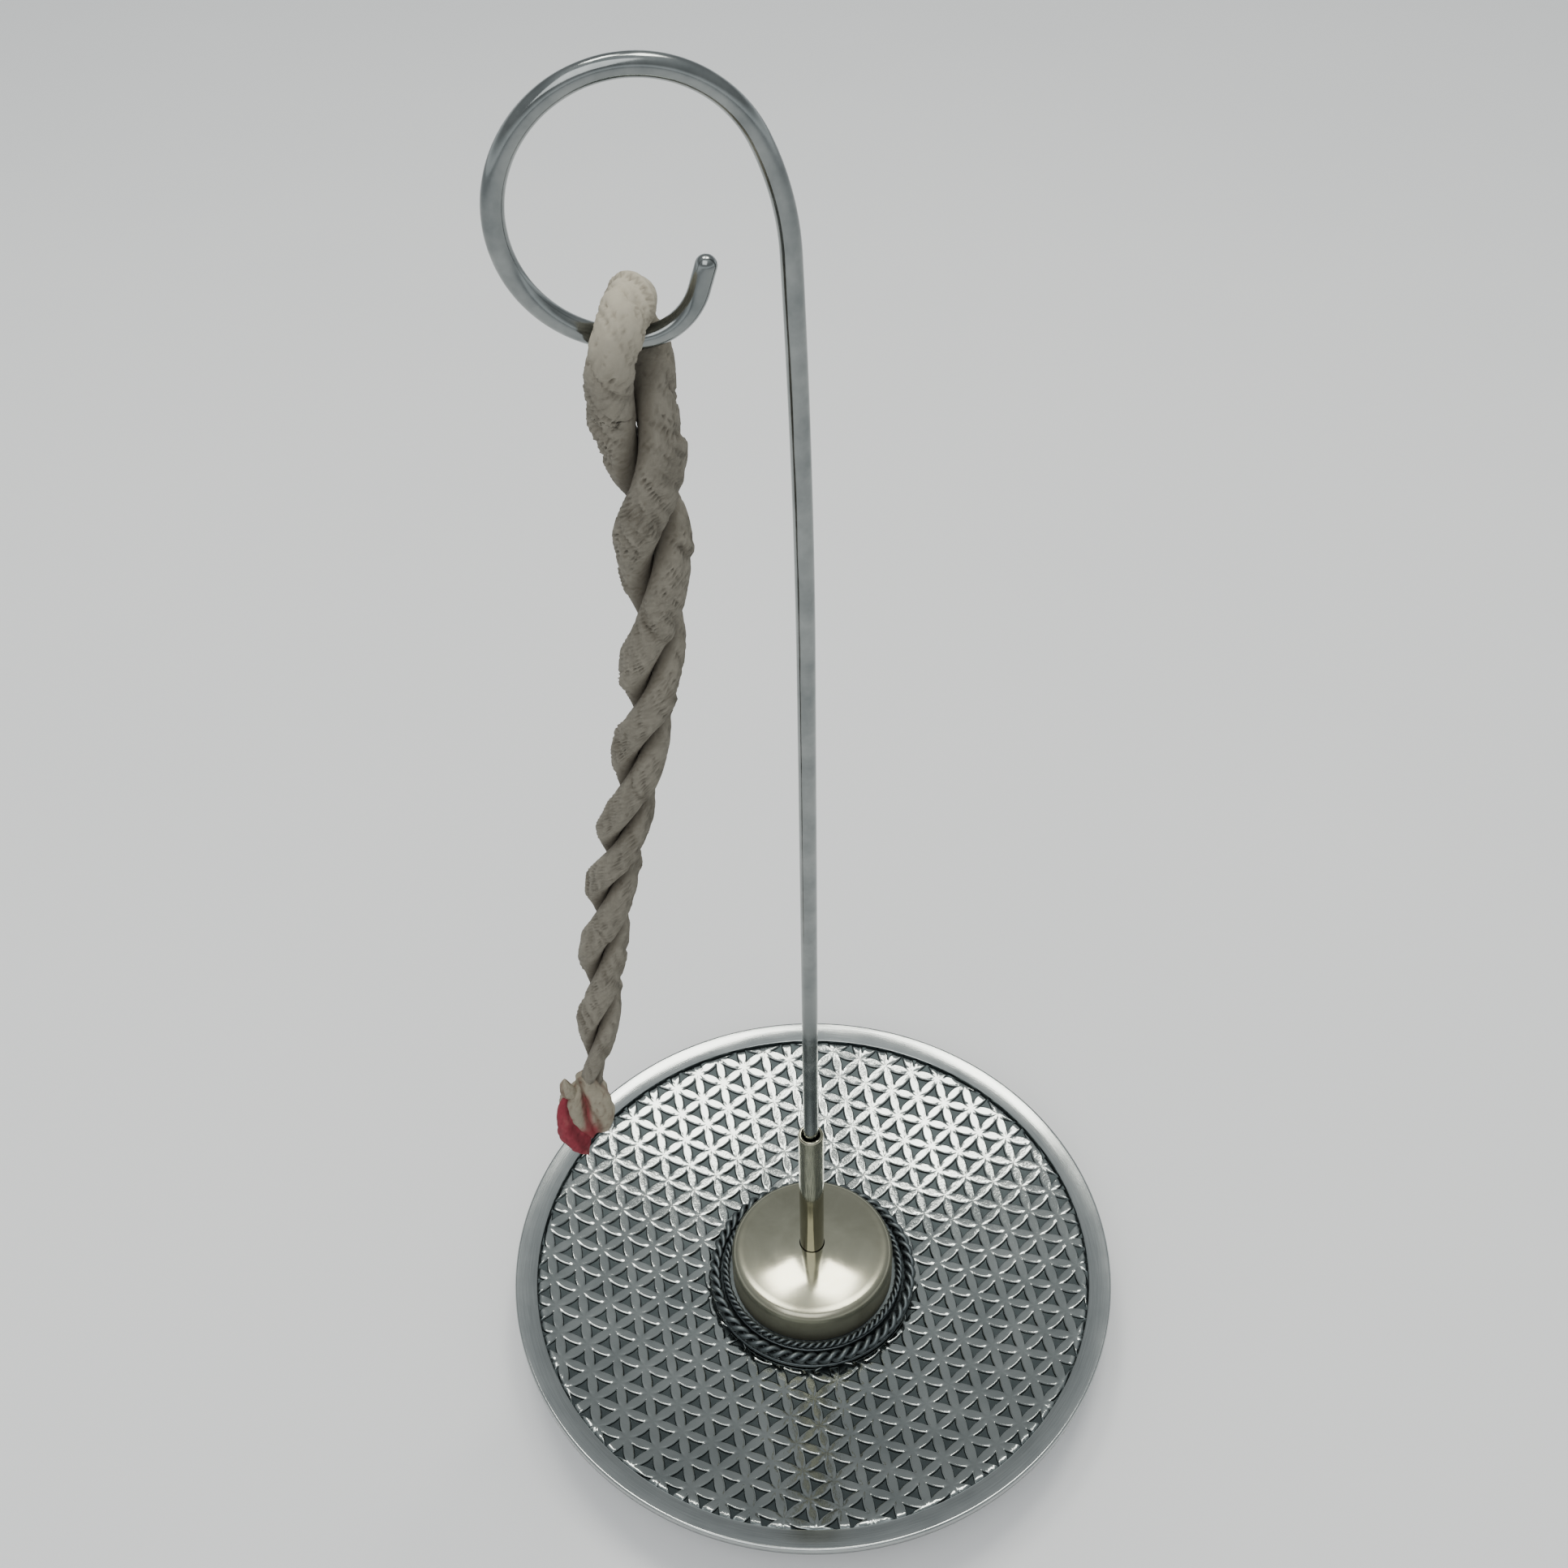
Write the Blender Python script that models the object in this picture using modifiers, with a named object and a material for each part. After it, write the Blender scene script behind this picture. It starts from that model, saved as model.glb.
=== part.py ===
"""Hanging rope-incense burner: a footed, dished plate with a domed hub, a socket tube, and a shepherd's-
crook wire that stands in the tube and carries a length of twisted paper rope incense over the plate.

Metres, +Z up. The origin is on the table, under the middle of the plate. The crook bends towards -X.
"""

import math

import bmesh
import bpy
from mathutils import Vector

MM = 0.001
GAP = 0.25 * MM  # clearance between pieces that touch on the real object

# The cast plate
RIM_Z = 12.0 * MM  # height of the rim's outer edge above the table
RIM_RISE = 0.95 * MM  # the plain rim slopes up outwards, as the bowl does
PLATE_RADIUS = 50.0 * MM
FIELD_RADIUS = 46.4 * MM  # where the bowl meets the plain rim
FIELD_STEP = 0.3 * MM  # the bowl's edge lies this far below the rim's inner edge
BOWL_DEPTH = 6.25 * MM  # from the bowl's edge down to its middle
PLATE_THICKNESS = 1.5 * MM
EDGE_ROUND = 0.35 * MM
FOOT_INNER_RADIUS = 26.5 * MM
FOOT_OUTER_RADIUS = 29.0 * MM
FOOT_CHAMFER = 0.4 * MM

# The hub: a seat on the plate, a thin cap over it and a tube up the middle
SEAT_RADIUS = 17.4 * MM
SEAT_EDGE = 0.4 * MM
SEAT_STEP_RADIUS = 15.3 * MM
SEAT_TOP = 7.2 * MM
COUNTERBORE_FLOOR = 5.9 * MM
CAP_RADIUS = 13.55 * MM
CAP_SHOULDER = 1.5 * MM  # radius of the cap's rounded shoulder
CAP_SIDE_TOP = 12.6 * MM
CAP_DOME_RISE = 1.35 * MM
CAP_THICKNESS = 0.8 * MM
TUBE_RADIUS = 2.0 * MM
TUBE_BORE_RADIUS = 1.35 * MM
TUBE_TOP = 45.7 * MM
TUBE_FIT = 0.12 * MM  # radial clearance of the tube in the cap and the seat
TUBE_LIP = 0.15 * MM

# Twisted wire trim round the hub: ring radius, ring height, wire radius, turns
HEAVY_TWIST = (16.6 * MM, 7.15 * MM, 0.46 * MM, 25)
FINE_TWIST = (14.75 * MM, 7.95 * MM, 0.29 * MM, 38)
TWIST_POINTS_PER_TURN = 5
TWIST_SPREAD = 1.2  # distance of each wire from the middle of its twist, in wire radii

# Fixing screw and washer under the plate
SCREW_RADIUS = 1.15 * MM
SCREW_TOP = 12.0 * MM
SCREW_HEAD_RADIUS = 2.6 * MM
SCREW_HEAD_TOP = 2.1 * MM
SCREW_HEAD_BOTTOM = 0.8 * MM
SCREW_SLOT_WIDTH = 0.6 * MM
SCREW_SLOT_DEPTH = 0.5 * MM
SCREW_HOLE_RADIUS = 1.5 * MM
WASHER_RADIUS = 3.6 * MM
WASHER_TOP = 2.85 * MM
WASHER_THICKNESS = 0.5 * MM

# The crook: a straight rod, a slight bow, a bend, the round crook and the tighter curl of its free end
WIRE_RADIUS = 1.15 * MM
WIRE_BOTTOM = 12.4 * MM
BOW_START = 138.0 * MM
BOW_RADIUS = 1300.0 * MM
BOW_LENGTH = 52.5 * MM
BEND_RADIUS = 31.0 * MM
BEND_TURN = math.radians(22.7)
CROOK_RADIUS = 13.35 * MM
CURL_START = math.radians(266.0)  # heading turned through before the wire starts to curl tighter
CURL_RADIUS = 6.5 * MM
CURL_TURN = math.radians(76.0)
FREE_END = 2.6 * MM

# The incense rope, hung over the low point of the crook
HANG_ANGLE = math.radians(259.2)  # where on the crook's circle the rope hangs
STRAND_RADIUS = 2.3 * MM
STRAND_LEAN = 2.0 * MM  # how far each leg stands along the wire from the other, halved
LOOP_CLEARANCE = 0.5 * MM  # room for the curved wire when the rope swings
LEG_ROOT_OFFSET = 2.5 * MM
LEG_ROOT_ANGLE = math.radians(184.0)
LEG_ROOT_GAP = 0.8 * MM  # the legs and the rope meet at slightly tilted faces
ROPE_ROUTE = (
    # x, height, radius of the rope
    (-17.7 * MM, 174.2 * MM, 4.7 * MM),
    (-17.0 * MM, 162.0 * MM, 4.5 * MM),
    (-17.3 * MM, 150.0 * MM, 3.9 * MM),
    (-19.0 * MM, 137.0 * MM, 3.6 * MM),
    (-22.0 * MM, 123.0 * MM, 3.4 * MM),
    (-25.3 * MM, 110.0 * MM, 3.4 * MM),
    (-27.7 * MM, 97.0 * MM, 3.3 * MM),
    (-29.7 * MM, 82.5 * MM, 3.1 * MM),
    (-31.0 * MM, 74.0 * MM, 2.3 * MM),
    (-32.1 * MM, 68.0 * MM, 1.6 * MM),
)
PAPER_THICKNESS = 0.6 * MM
POWDER_END = 82.5 * MM  # the powder filling stops above the gathered neck
TIP_ROUTE = (
    (-32.15 * MM, 67.7 * MM, 1.6 * MM),
    (-32.6 * MM, 64.5 * MM, 2.9 * MM),
    (-33.0 * MM, 61.0 * MM, 3.4 * MM),
    (-33.3 * MM, 58.5 * MM, 2.8 * MM),
)
DYED_TIP_ROUTE = (
    (-33.35 * MM, 58.2 * MM, 2.8 * MM),
    (-33.8 * MM, 55.0 * MM, 2.2 * MM),
    (-34.3 * MM, 51.0 * MM, 0.5 * MM),
)

COLLECTION_NAME = "rope_incense_burner"


def clear_scene():
    for obj in list(bpy.data.objects):
        bpy.data.objects.remove(obj, do_unlink=True)


def new_collection(name):
    collection = bpy.data.collections.new(name)
    bpy.context.scene.collection.children.link(collection)
    return collection


def material(name, colour, roughness, metallic):
    made = bpy.data.materials.new(name)
    made.use_nodes = True
    shader = made.node_tree.nodes["Principled BSDF"]
    shader.inputs["Base Color"].default_value = (*colour, 1.0)
    shader.inputs["Roughness"].default_value = roughness
    shader.inputs["Metallic"].default_value = metallic
    return made


def finish_object(name, data, collection, finish):
    """An object in the collection, with its one material."""
    obj = bpy.data.objects.new(name, data)
    obj.data.materials.append(finish)
    collection.objects.link(obj)
    return obj


def turned(name, profile, steps, collection, finish, closed=True):
    """A turned piece: (radius, height) points swept round Z. A closed profile runs down its outer side."""
    mesh = bpy.data.meshes.new(name)
    points = [(radius, 0.0, height) for radius, height in profile]
    edges = [(i, i + 1) for i in range(len(points) - 1)]
    if closed:
        edges.append((len(points) - 1, 0))
    mesh.from_pydata(points, edges, [])
    obj = finish_object(name, mesh, collection, finish)
    screw = obj.modifiers.new("Turn", "SCREW")
    screw.axis = "Z"
    screw.steps = steps
    screw.render_steps = steps
    screw.use_smooth_shade = True
    screw.use_merge_vertices = True
    screw.merge_threshold = 0.01 * MM
    return obj


def wire(name, stations, radius, collection, finish, sides=8, closed=False, capped=True):
    """A round wire along (point, scale of its radius) stations."""
    curve = bpy.data.curves.new(name, "CURVE")
    curve.dimensions = "3D"
    curve.bevel_depth = radius
    curve.bevel_resolution = (sides - 4) // 2
    curve.use_fill_caps = capped
    spline = curve.splines.new("POLY")
    spline.points.add(len(stations) - 1)
    for spline_point, (place, scale) in zip(spline.points, stations):
        spline_point.co = (*place, 1.0)
        spline_point.radius = scale
    spline.use_cyclic_u = closed
    return finish_object(name, curve, collection, finish)


def bowl_height(radius):
    """Height of the bowl's upper face."""
    return RIM_Z - RIM_RISE - FIELD_STEP - BOWL_DEPTH * (1 - (radius / FIELD_RADIUS) ** 2)


def steps_between(start, end, count):
    return [start + (end - start) * i / count for i in range(count + 1)]


def arc_profile(centre, radius, start, end, count):
    """(radius, height) points on a circular arc, angles in degrees from the outward direction."""
    return [
        (centre[0] + radius * math.cos(math.radians(a)), centre[1] + radius * math.sin(math.radians(a)))
        for a in steps_between(start, end, count)
    ]


def catmull_rom(before, start, end, after, t):
    linear = end - before
    square = 2 * before - 5 * start + 4 * end - after
    cube = 3 * start - before - 3 * end + after
    return 0.5 * (2 * start + linear * t + square * t**2 + cube * t**3)


def smooth_route(stations, per_span):
    """Points on a smooth curve through the stations, which are tuples of any one length."""
    padded = [stations[0], *stations, stations[-1]]
    made = []
    for span in zip(padded, padded[1:], padded[2:], padded[3:]):
        for step in range(per_span):
            made.append(tuple(catmull_rom(*values, step / per_span) for values in zip(*span)))
    made.append(stations[-1])
    return made


def make_plate(collection, finish):
    upper = [(r, bowl_height(r)) for r in steps_between(SCREW_HOLE_RADIUS, FIELD_RADIUS, 9)]
    edge_centre = (PLATE_RADIUS - EDGE_ROUND, RIM_Z - EDGE_ROUND)
    rim = [(FIELD_RADIUS + FIELD_STEP, RIM_Z - RIM_RISE), *arc_profile(edge_centre, EDGE_ROUND, 105, 0, 2)]
    rim.append((PLATE_RADIUS, RIM_Z - PLATE_THICKNESS))
    under = [(r, z - PLATE_THICKNESS) for r, z in reversed(upper)]
    return turned("dish", upper + rim + under, 64, collection, finish)


def make_foot(collection, finish):
    def underside(radius):
        return bowl_height(radius) - PLATE_THICKNESS - GAP

    profile = [
        (FOOT_INNER_RADIUS, underside(FOOT_INNER_RADIUS)),
        (FOOT_OUTER_RADIUS, underside(FOOT_OUTER_RADIUS)),
        (FOOT_OUTER_RADIUS, FOOT_CHAMFER),
        (FOOT_OUTER_RADIUS - FOOT_CHAMFER, 0.0),
        (FOOT_INNER_RADIUS + FOOT_CHAMFER, 0.0),
        (FOOT_INNER_RADIUS, FOOT_CHAMFER),
    ]
    return turned("foot_ring", profile, 48, collection, finish)


def make_hub_seat(collection, finish):
    bore = TUBE_RADIUS + TUBE_FIT
    profile = [
        (bore, SEAT_TOP),
        (SEAT_STEP_RADIUS, SEAT_TOP),
        (SEAT_STEP_RADIUS, bowl_height(SEAT_STEP_RADIUS) + GAP + SEAT_EDGE),
        (SEAT_RADIUS, bowl_height(SEAT_RADIUS) + GAP + SEAT_EDGE),
        (SEAT_RADIUS, bowl_height(SEAT_RADIUS) + GAP),
        (SEAT_STEP_RADIUS / 2, bowl_height(SEAT_STEP_RADIUS / 2) + GAP),
        (SCREW_HOLE_RADIUS, bowl_height(SCREW_HOLE_RADIUS) + GAP),
        (SCREW_HOLE_RADIUS, COUNTERBORE_FLOOR),
        (bore, COUNTERBORE_FLOOR),
    ]
    return turned("hub_seat", profile, 48, collection, finish)


def make_hub_cap(collection, finish):
    """A thin spun shell, open below, with a hole for the tube."""
    shoulder_centre = (CAP_RADIUS - CAP_SHOULDER, CAP_SIDE_TOP)
    dome_edge = CAP_SIDE_TOP + CAP_SHOULDER
    inner = TUBE_RADIUS + TUBE_FIT
    reach = shoulder_centre[0]
    dome = [
        (r, dome_edge + CAP_DOME_RISE * (1 - (r / reach) ** 2)) for r in steps_between(inner, reach, 5)
    ]
    profile = dome[:-1] + arc_profile(shoulder_centre, CAP_SHOULDER, 90, 0, 4)
    profile.append((CAP_RADIUS, SEAT_TOP + GAP))
    cap = turned("hub_cap", profile, 48, collection, finish, closed=False)
    shell = cap.modifiers.new("Sheet", "SOLIDIFY")
    shell.thickness = CAP_THICKNESS
    shell.offset = -1.0
    return cap


def make_tube(collection, finish):
    profile = [
        (TUBE_BORE_RADIUS, TUBE_TOP),
        (TUBE_RADIUS - TUBE_LIP, TUBE_TOP),
        (TUBE_RADIUS, TUBE_TOP - TUBE_LIP),
        (TUBE_RADIUS, COUNTERBORE_FLOOR + GAP),
        (TUBE_BORE_RADIUS, COUNTERBORE_FLOOR + GAP),
    ]
    return turned("socket_tube", profile, 24, collection, finish)


def make_twist(name, sizes, collection, finish):
    """Two wires twisted together and closed into a ring, each its own object."""
    ring_radius, height, wire_radius, turns = sizes
    count = turns * TWIST_POINTS_PER_TURN
    reach = wire_radius * TWIST_SPREAD
    for letter, phase in (("a", 0.0), ("b", math.pi)):
        stations = []
        for i in range(count):
            around = 2 * math.pi * i / count
            twist = around * turns + phase
            radius = ring_radius + reach * math.cos(twist)
            level = height + reach * math.sin(twist)
            stations.append(((radius * math.cos(around), radius * math.sin(around), level), 1.0))
        wire(f"{name}_{letter}", stations, wire_radius, collection, finish, sides=4, closed=True)


def make_screw(collection, cutters, finish):
    profile = [
        (0.0, SCREW_TOP),
        (SCREW_RADIUS - TUBE_LIP, SCREW_TOP),
        (SCREW_RADIUS, SCREW_TOP - TUBE_LIP),
        (SCREW_RADIUS, SCREW_HEAD_TOP),
        (SCREW_HEAD_RADIUS, SCREW_HEAD_TOP),
        (SCREW_HEAD_RADIUS, SCREW_HEAD_BOTTOM + EDGE_ROUND),
        (SCREW_HEAD_RADIUS - EDGE_ROUND, SCREW_HEAD_BOTTOM),
        (0.0, SCREW_HEAD_BOTTOM),
    ]
    screw = turned("fixing_screw", profile, 24, collection, finish, closed=False)
    slot = bpy.data.meshes.new("screw_slot_cutter")
    shape = bmesh.new()
    bmesh.ops.create_cube(shape, size=1.0)
    size = (3 * SCREW_HEAD_RADIUS, SCREW_SLOT_WIDTH, 2 * SCREW_SLOT_DEPTH)
    bmesh.ops.scale(shape, vec=size, verts=shape.verts)
    shape.to_mesh(slot)
    shape.free()
    cutter = finish_object("screw_slot_cutter", slot, cutters, finish)
    cutter.location.z = SCREW_HEAD_BOTTOM
    cutter.hide_render = True
    cutter.display_type = "WIRE"
    cut = screw.modifiers.new("Driver slot", "BOOLEAN")
    cut.operation = "DIFFERENCE"
    cut.object = cutter
    washer = [
        (SCREW_HOLE_RADIUS, WASHER_TOP),
        (WASHER_RADIUS, WASHER_TOP),
        (WASHER_RADIUS, WASHER_TOP - WASHER_THICKNESS),
        (SCREW_HOLE_RADIUS, WASHER_TOP - WASHER_THICKNESS),
    ]
    turned("fixing_washer", washer, 32, collection, finish)


class Crook:
    """The hook wire's centreline in the XZ plane, walked from its foot. Heading 0 is up."""

    def __init__(self):
        self.x, self.z, self.heading = 0.0, WIRE_BOTTOM, 0.0
        self.points = [(self.x, self.z)]

    def straight(self, length, count):
        for _ in range(count):
            self.x -= math.sin(self.heading) * length / count
            self.z += math.cos(self.heading) * length / count
            self.points.append((self.x, self.z))

    def bend(self, radius, turn, count):
        """Turns about a centre that lies to the left, and returns that centre."""
        centre_x = self.x - radius * math.cos(self.heading)
        centre_z = self.z - radius * math.sin(self.heading)
        for _ in range(count):
            self.heading += turn / count
            self.x = centre_x + radius * math.cos(self.heading)
            self.z = centre_z + radius * math.sin(self.heading)
            self.points.append((self.x, self.z))
        return centre_x, centre_z


def crook_route():
    """The wire's (x, z) points, and the centre of its round crook."""
    crook = Crook()
    crook.straight(BOW_START - WIRE_BOTTOM, 6)
    crook.bend(BOW_RADIUS, BOW_LENGTH / BOW_RADIUS, 5)
    crook.bend(BEND_RADIUS, BEND_TURN, 4)
    centre = crook.bend(CROOK_RADIUS, CURL_START - crook.heading, 30)
    crook.bend(CURL_RADIUS, CURL_TURN, 7)
    crook.straight(FREE_END, 1)
    return crook.points, centre


def make_hook(collection, finish):
    points, _ = crook_route()
    stations = [((x, 0.0, z), 1.0) for x, z in points]
    (x, _, z), _ = stations[-1]
    (last_x, _, last_z), _ = stations[-2]
    ahead = Vector((x - last_x, 0.0, z - last_z)).normalized()
    for angle in (30, 60):  # the free end is rounded over
        reach = WIRE_RADIUS * math.sin(math.radians(angle))
        stations.append(((x + ahead.x * reach, 0.0, z + ahead.z * reach), math.cos(math.radians(angle))))
    return wire("hook_wire", stations, WIRE_RADIUS, collection, finish)


def hanging_point():
    """Where the rope hangs on the wire's centreline, and the wire's direction there."""
    _, (centre_x, centre_z) = crook_route()
    along = Vector((-math.sin(HANG_ANGLE), 0.0, math.cos(HANG_ANGLE)))
    outward = Vector((math.cos(HANG_ANGLE), 0.0, math.sin(HANG_ANGLE)))
    return Vector((centre_x, 0.0, centre_z)) + outward * CROOK_RADIUS, along


def loop_stations():
    """The folded roll: up one leg, over the wire and down the other leg."""
    hang, along = hanging_point()
    over = Vector((-along.z, 0.0, along.x))
    arch_radius = WIRE_RADIUS + LOOP_CLEARANCE + STRAND_RADIUS
    root_x, root_z, _ = ROPE_ROUTE[0]
    root = Vector((root_x, 0.0, root_z + LEG_ROOT_GAP))
    steps = 6
    leg = []
    top_angle = math.atan2(-arch_radius, -STRAND_LEAN)
    root_angle = LEG_ROOT_ANGLE - 2 * math.pi
    for i in range(steps):
        t = i / steps
        eased = t * t * (3 - 2 * t)
        angle = root_angle + (top_angle - root_angle) * eased
        reach = LEG_ROOT_OFFSET + (math.hypot(arch_radius, STRAND_LEAN) - LEG_ROOT_OFFSET) * eased
        middle = root.lerp(hang, t)
        leg.append((middle, Vector((math.cos(angle) * reach, math.sin(angle) * reach, 0.0))))
    arch = []
    for turn in steps_between(-90.0, 90.0, 10):
        angle = math.radians(turn)
        side = Vector((0.0, math.sin(angle), 0.0)) + over * math.cos(angle)
        arch.append(hang + along * (STRAND_LEAN * turn / 90.0) + side * arch_radius)
    route = [middle + offset for middle, offset in leg] + arch
    route += [middle - offset for middle, offset in reversed(leg)]
    return [(place, 1.0) for place in route]


def rope_stations(route, reference, per_span, inset=0.0):
    """Points and radius scales of a tapered run that hangs in the XZ plane."""
    return [
        ((x, 0.0, z), (radius - inset) / reference) for x, z, radius in smooth_route(route, per_span)
    ]


def make_incense(collection, paper, powder, dye):
    wire("incense_loop", loop_stations(), STRAND_RADIUS, collection, paper)
    thickest = ROPE_ROUTE[0][2]
    twisted = rope_stations(ROPE_ROUTE, thickest, 3)
    wrap = wire("incense_paper", twisted, thickest, collection, paper, sides=12, capped=False)
    sheet = wrap.modifiers.new("Paper", "SOLIDIFY")
    sheet.thickness = PAPER_THICKNESS
    sheet.offset = -1.0
    filled = [station for station in ROPE_ROUTE if station[1] >= POWDER_END]
    filling = rope_stations(filled, thickest, 2, inset=PAPER_THICKNESS + GAP)
    wire("incense_powder", filling, thickest, collection, powder)
    wire("tip_paper", rope_stations(TIP_ROUTE, thickest, 2), thickest, collection, paper)
    wire("dyed_tip_paper", rope_stations(DYED_TIP_ROUTE, thickest, 2), thickest, collection, dye)


def main():
    clear_scene()
    parts = new_collection(COLLECTION_NAME)
    cutters = new_collection("cutters")
    white_metal = material("antiqued_white_metal", (0.42, 0.45, 0.46), 0.32, 1.0)
    dark_metal = material("oxidised_wire", (0.14, 0.16, 0.17), 0.45, 1.0)
    gold_metal = material("polished_pale_brass", (0.62, 0.58, 0.44), 0.12, 1.0)
    bright_wire = material("polished_steel_wire", (0.60, 0.62, 0.62), 0.16, 1.0)
    plain_steel = material("zinc_plated_steel", (0.50, 0.51, 0.52), 0.35, 1.0)
    paper = material("lokta_paper", (0.42, 0.37, 0.30), 0.85, 0.0)
    powder = material("incense_powder", (0.20, 0.12, 0.07), 0.95, 0.0)
    dye = material("red_dyed_paper", (0.62, 0.05, 0.10), 0.80, 0.0)

    make_plate(parts, white_metal)
    make_foot(parts, white_metal)
    make_hub_seat(parts, dark_metal)
    make_twist("heavy_twist_wire", HEAVY_TWIST, parts, dark_metal)
    make_twist("fine_twist_wire", FINE_TWIST, parts, dark_metal)
    make_hub_cap(parts, gold_metal)
    make_tube(parts, gold_metal)
    make_screw(parts, cutters, plain_steel)
    make_hook(parts, bright_wire)
    make_incense(parts, paper, powder, dye)


main()
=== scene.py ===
"""Studio scene of a hanging rope-incense burner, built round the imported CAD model.

Lengths are in millimetres up to the last step of each mesh, and become metres there. +Z is up and the origin is
on the table, under the middle of the dish.
"""

import math

import bmesh
import bpy
import numpy as np
from mathutils import Matrix, Vector, noise


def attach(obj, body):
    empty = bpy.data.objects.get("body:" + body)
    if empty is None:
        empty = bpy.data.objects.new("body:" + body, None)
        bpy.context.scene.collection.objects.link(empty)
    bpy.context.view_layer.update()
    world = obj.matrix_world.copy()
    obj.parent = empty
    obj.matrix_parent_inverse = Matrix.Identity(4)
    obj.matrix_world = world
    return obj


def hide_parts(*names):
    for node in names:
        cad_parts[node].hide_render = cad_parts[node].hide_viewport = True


MM = 0.001
SOFT_ANGLE = math.radians(32)  # turned pieces keep a sharp edge above this
CREASE_ANGLE = math.radians(52)  # the same for the dish's relief

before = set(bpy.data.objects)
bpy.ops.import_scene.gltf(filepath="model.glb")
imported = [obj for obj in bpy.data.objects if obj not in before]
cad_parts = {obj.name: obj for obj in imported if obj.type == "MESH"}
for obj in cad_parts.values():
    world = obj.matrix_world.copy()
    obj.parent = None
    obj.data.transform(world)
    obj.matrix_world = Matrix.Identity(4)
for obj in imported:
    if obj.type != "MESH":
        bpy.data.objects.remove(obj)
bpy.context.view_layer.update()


# ---------------------------------------------------------------- meshes


def piece_from(name, vertices, faces):
    """A mesh object from vertices in millimetres."""
    mesh = bpy.data.meshes.new(name)
    mesh.from_pydata([tuple(v) for v in np.asarray(vertices, float) * MM], [], faces)
    mesh.validate()
    made = bpy.data.objects.new(name, mesh)
    bpy.context.scene.collection.objects.link(made)
    for polygon in mesh.polygons:
        polygon.use_smooth = True
    return made


def face_outwards(piece):
    shape = bmesh.new()
    shape.from_mesh(piece.data)
    bmesh.ops.recalc_face_normals(shape, faces=shape.faces)
    shape.to_mesh(piece.data)
    shape.free()
    return piece


def tube_faces(rings, around, first=0, closed=False):
    """Faces of a tube of rings. Unless closed, its two end points follow the last ring's points."""
    faces = []
    for i in range(rings if closed else rings - 1):
        here, there = first + i * around, first + (i + 1) % rings * around
        for j in range(around):
            k = (j + 1) % around
            faces.append((here + j, here + k, there + k, there + j))
    if not closed:
        last, start = first + (rings - 1) * around, first + rings * around
        end = start + 1
        for j in range(around):
            k = (j + 1) % around
            faces.append((first + k, first + j, start))
            faces.append((last + j, last + k, end))
    return faces


def tube_from(rings, closed=False):
    """Vertices and faces of one closed tube. rings has the shape (rings, around, 3)."""
    rings = np.asarray(rings, float)
    vertices = rings.reshape(-1, 3)
    if not closed:
        vertices = np.vstack([vertices, rings[0].mean(axis=0), rings[-1].mean(axis=0)])
    return vertices, tube_faces(len(rings), rings.shape[1], closed=closed)


def joined(shells):
    """Several closed shells as one list of vertices and faces."""
    vertices, faces, first = [], [], 0
    for some, those in shells:
        vertices.append(some)
        faces += [tuple(first + i for i in face) for face in those]
        first += len(some)
    return np.vstack(vertices), faces


def turned(name, profile, steps=160):
    """A piece turned on Z from a closed profile of (radius, height) points.

    A radius of 0 ends the profile on the axis."""
    mesh = bpy.data.meshes.new(name)
    shape = bmesh.new()
    places = [shape.verts.new((r * MM, 0.0, z * MM)) for r, z in profile]
    edges = [shape.edges.new(pair) for pair in zip(places, places[1:])]
    if profile[0][0] > 0:
        edges.append(shape.edges.new((places[-1], places[0])))
    bmesh.ops.spin(
        shape, geom=places + edges, cent=(0, 0, 0), axis=(0, 0, 1), angle=2 * math.pi, steps=steps,
        use_merge=True,
    )
    bmesh.ops.remove_doubles(shape, verts=shape.verts, dist=0.002 * MM)
    bmesh.ops.recalc_face_normals(shape, faces=shape.faces)
    for face in shape.faces:
        face.smooth = True
    for edge in shape.edges:
        edge.smooth = edge.calc_face_angle(0) < SOFT_ANGLE
    shape.to_mesh(mesh)
    shape.free()
    made = bpy.data.objects.new(name, mesh)
    bpy.context.scene.collection.objects.link(made)
    return made


def arc(centre, radius, start, end, count):
    """(radius, height) points on an arc, angles in degrees from the outward direction."""
    turn = np.radians(np.linspace(start, end, count + 1))
    return [(centre[0] + radius * math.cos(a), centre[1] + radius * math.sin(a)) for a in turn]


def hermite(knots, values, at):
    """A smooth curve through values at rising knots, read at the given places."""
    knots, values = np.asarray(knots, float), np.asarray(values, float)
    slopes = np.gradient(values, knots)
    i = np.clip(np.searchsorted(knots, at, side="right") - 1, 0, len(knots) - 2)
    span = knots[i + 1] - knots[i]
    t = np.clip((at - knots[i]) / span, 0, 1)
    start = (2 * t**3 - 3 * t**2 + 1) * values[i] + (t**3 - 2 * t**2 + t) * span * slopes[i]
    return start + (3 * t**2 - 2 * t**3) * values[i + 1] + (t**3 - t**2) * span * slopes[i + 1]


def smoothstep(low, high, value):
    t = np.clip((np.asarray(value, float) - low) / (high - low), 0, 1)
    return t * t * (3 - 2 * t)


# ---------------------------------------------------------------- materials


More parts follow.
